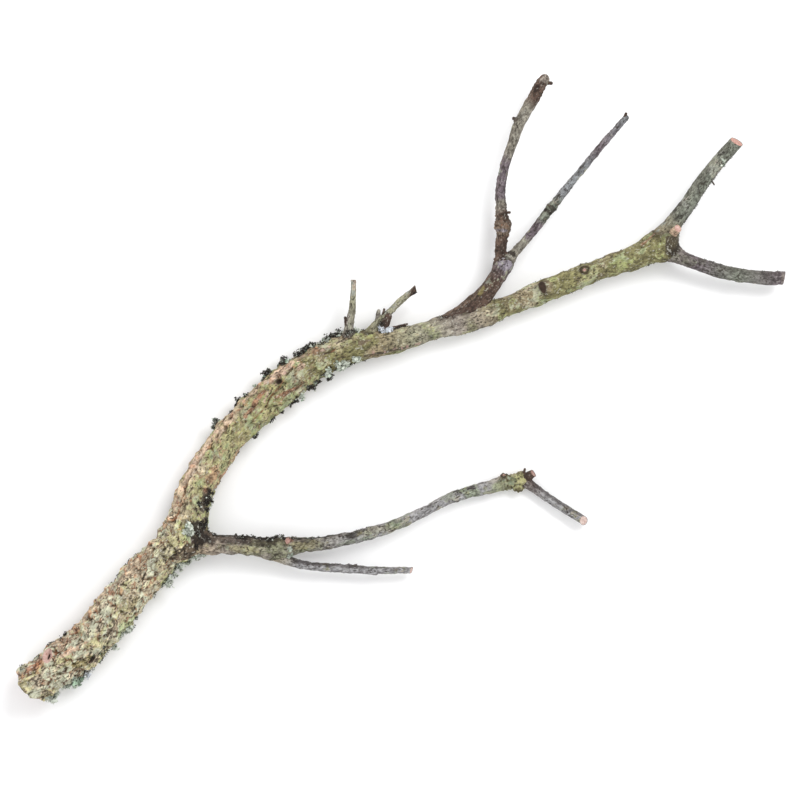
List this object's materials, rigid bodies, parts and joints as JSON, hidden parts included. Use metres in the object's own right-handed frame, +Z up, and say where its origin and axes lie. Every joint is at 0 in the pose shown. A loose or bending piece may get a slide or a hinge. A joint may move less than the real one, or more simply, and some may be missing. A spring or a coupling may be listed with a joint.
{
  "type": "fallen tree branch",
  "caption": "Fallen forked tree branch with a flaky-barked, lichen-grown butt, a long bend, thinner side limbs and cut twig ends, lying flat.",
  "frame": {"origin": "on the surface that the branch lies on, under the middle of its outline", "axes": "+X from the butt towards the thin end, +Y towards the upper twigs, +Z up from the surface"},
  "size_m": [0.6913, 0.5657, 0.0405],
  "materials": {
    "flaky_bark": "flaky bark with crusts of grey-green lichen",
    "lichen_bark": "rough green-brown bark with lichen",
    "twig_bark": "thin matt grey-brown bark"
  },
  "bodies": {
    "root": {"main_stem_base": "flaky_bark", "main_stem_middle": "lichen_bark", "main_stem_upper": "lichen_bark", "lower_limb": "twig_bark", "lower_limb_side_twig": "twig_bark", "lower_limb_tip_twig": "twig_bark", "upper_limb": "twig_bark", "upper_limb_left_twig": "twig_bark", "upper_limb_right_twig": "twig_bark", "end_fork_left_twig": "twig_bark", "end_fork_right_twig": "twig_bark", "short_spur_left": "twig_bark", "short_spur_right": "twig_bark"}
  },
  "joints": []
}
